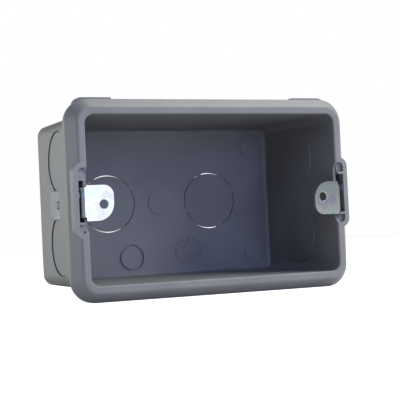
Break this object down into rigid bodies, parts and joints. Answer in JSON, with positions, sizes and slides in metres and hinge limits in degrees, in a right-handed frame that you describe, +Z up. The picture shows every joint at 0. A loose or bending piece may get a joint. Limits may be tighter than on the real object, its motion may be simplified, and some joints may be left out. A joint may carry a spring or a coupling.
{
  "type": "plastic flush-mounting wiring box with steel lugs",
  "caption": "Flush-mounting plastic wiring box with a bevelled rim, round knock-outs and sliding steel lugs that take the screws of a wall plate.",
  "frame": {"origin": "centre of the rim's flat front plane", "axes": "+X to the right along the long side, +Y into the wall, +Z up; -Y looks out of the mouth"},
  "size_m": [0.1056, 0.052, 0.0683],
  "materials": {
    "grey_plastic": "satin moulded",
    "zinc_plated_steel": "zinc plated"
  },
  "bodies": {
    "box": {"box_body": "grey_plastic"},
    "left_lug": {"lug_left": "zinc_plated_steel"},
    "right_lug": {"lug_right": "zinc_plated_steel"}
  },
  "joints": [
    {"name": "left_lug_slide", "type": "slide", "parent": "box", "child": "left_lug", "axis": [0, 0, 1], "range_m": [-0.0016, 0.0022]},
    {"name": "right_lug_slide", "type": "slide", "parent": "box", "child": "right_lug", "axis": [0, 0, 1], "range_m": [0, 0.0038]}
  ]
}
